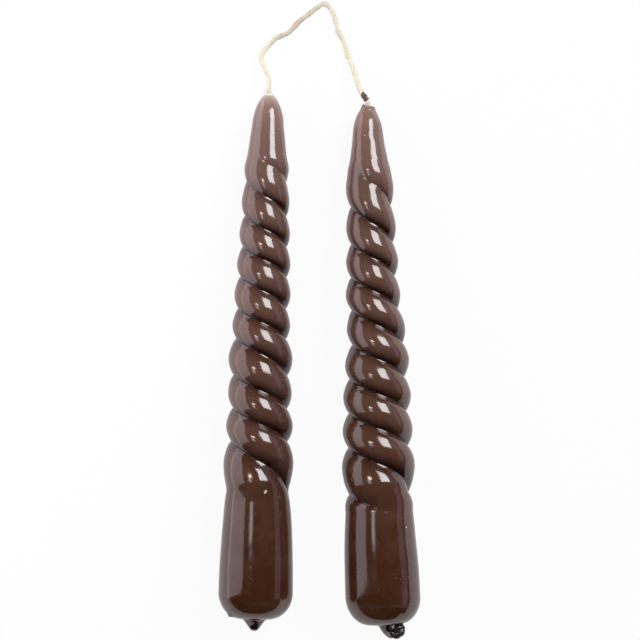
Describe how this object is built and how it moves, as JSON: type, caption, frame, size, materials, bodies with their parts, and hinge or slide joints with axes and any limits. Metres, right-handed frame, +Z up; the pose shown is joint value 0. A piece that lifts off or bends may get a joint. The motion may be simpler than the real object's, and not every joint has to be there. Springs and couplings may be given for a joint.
{
  "type": "pair of twisted taper candles",
  "caption": "Twisted taper candles with smooth round bases and cone tips, coated in glossy dark brown, joined at the tips by a folded cotton wick.",
  "frame": {"origin": "on the table, below the middle of the pair without its free wick", "axes": "+Y from the bases to the tips, +X across the pair to the right candle, +Z up from the table"},
  "size_m": [0.0686, 0.217, 0.0272],
  "materials": {
    "lacquered_wax": "high gloss lacquer over dark brown dipped wax",
    "pale_wax": "bare cream paraffin wax",
    "cotton_wick": "braided cream cotton, lightly waxed",
    "dark_wax": "glossy, nearly black wax sealed over the wick"
  },
  "bodies": {
    "left_candle": {"left_colour_coat": "lacquered_wax", "left_wax_core": "pale_wax", "left_core_wick": "cotton_wick", "left_wick_tail": "dark_wax", "wick_left_leg": "cotton_wick"},
    "right_candle": {"right_colour_coat": "lacquered_wax", "right_wax_core": "pale_wax", "right_core_wick": "cotton_wick", "right_wick_tail": "dark_wax", "right_wick_sleeve": "dark_wax", "wick_right_leg": "cotton_wick"}
  },
  "joints": [
    {"name": "wick_fold", "type": "hinge", "parent": "left_candle", "child": "right_candle", "pos_m": [0.0015, 0.1231, 0.00105], "axis": [0, 0, 1], "range_deg": [-4.8, 125]}
  ]
}
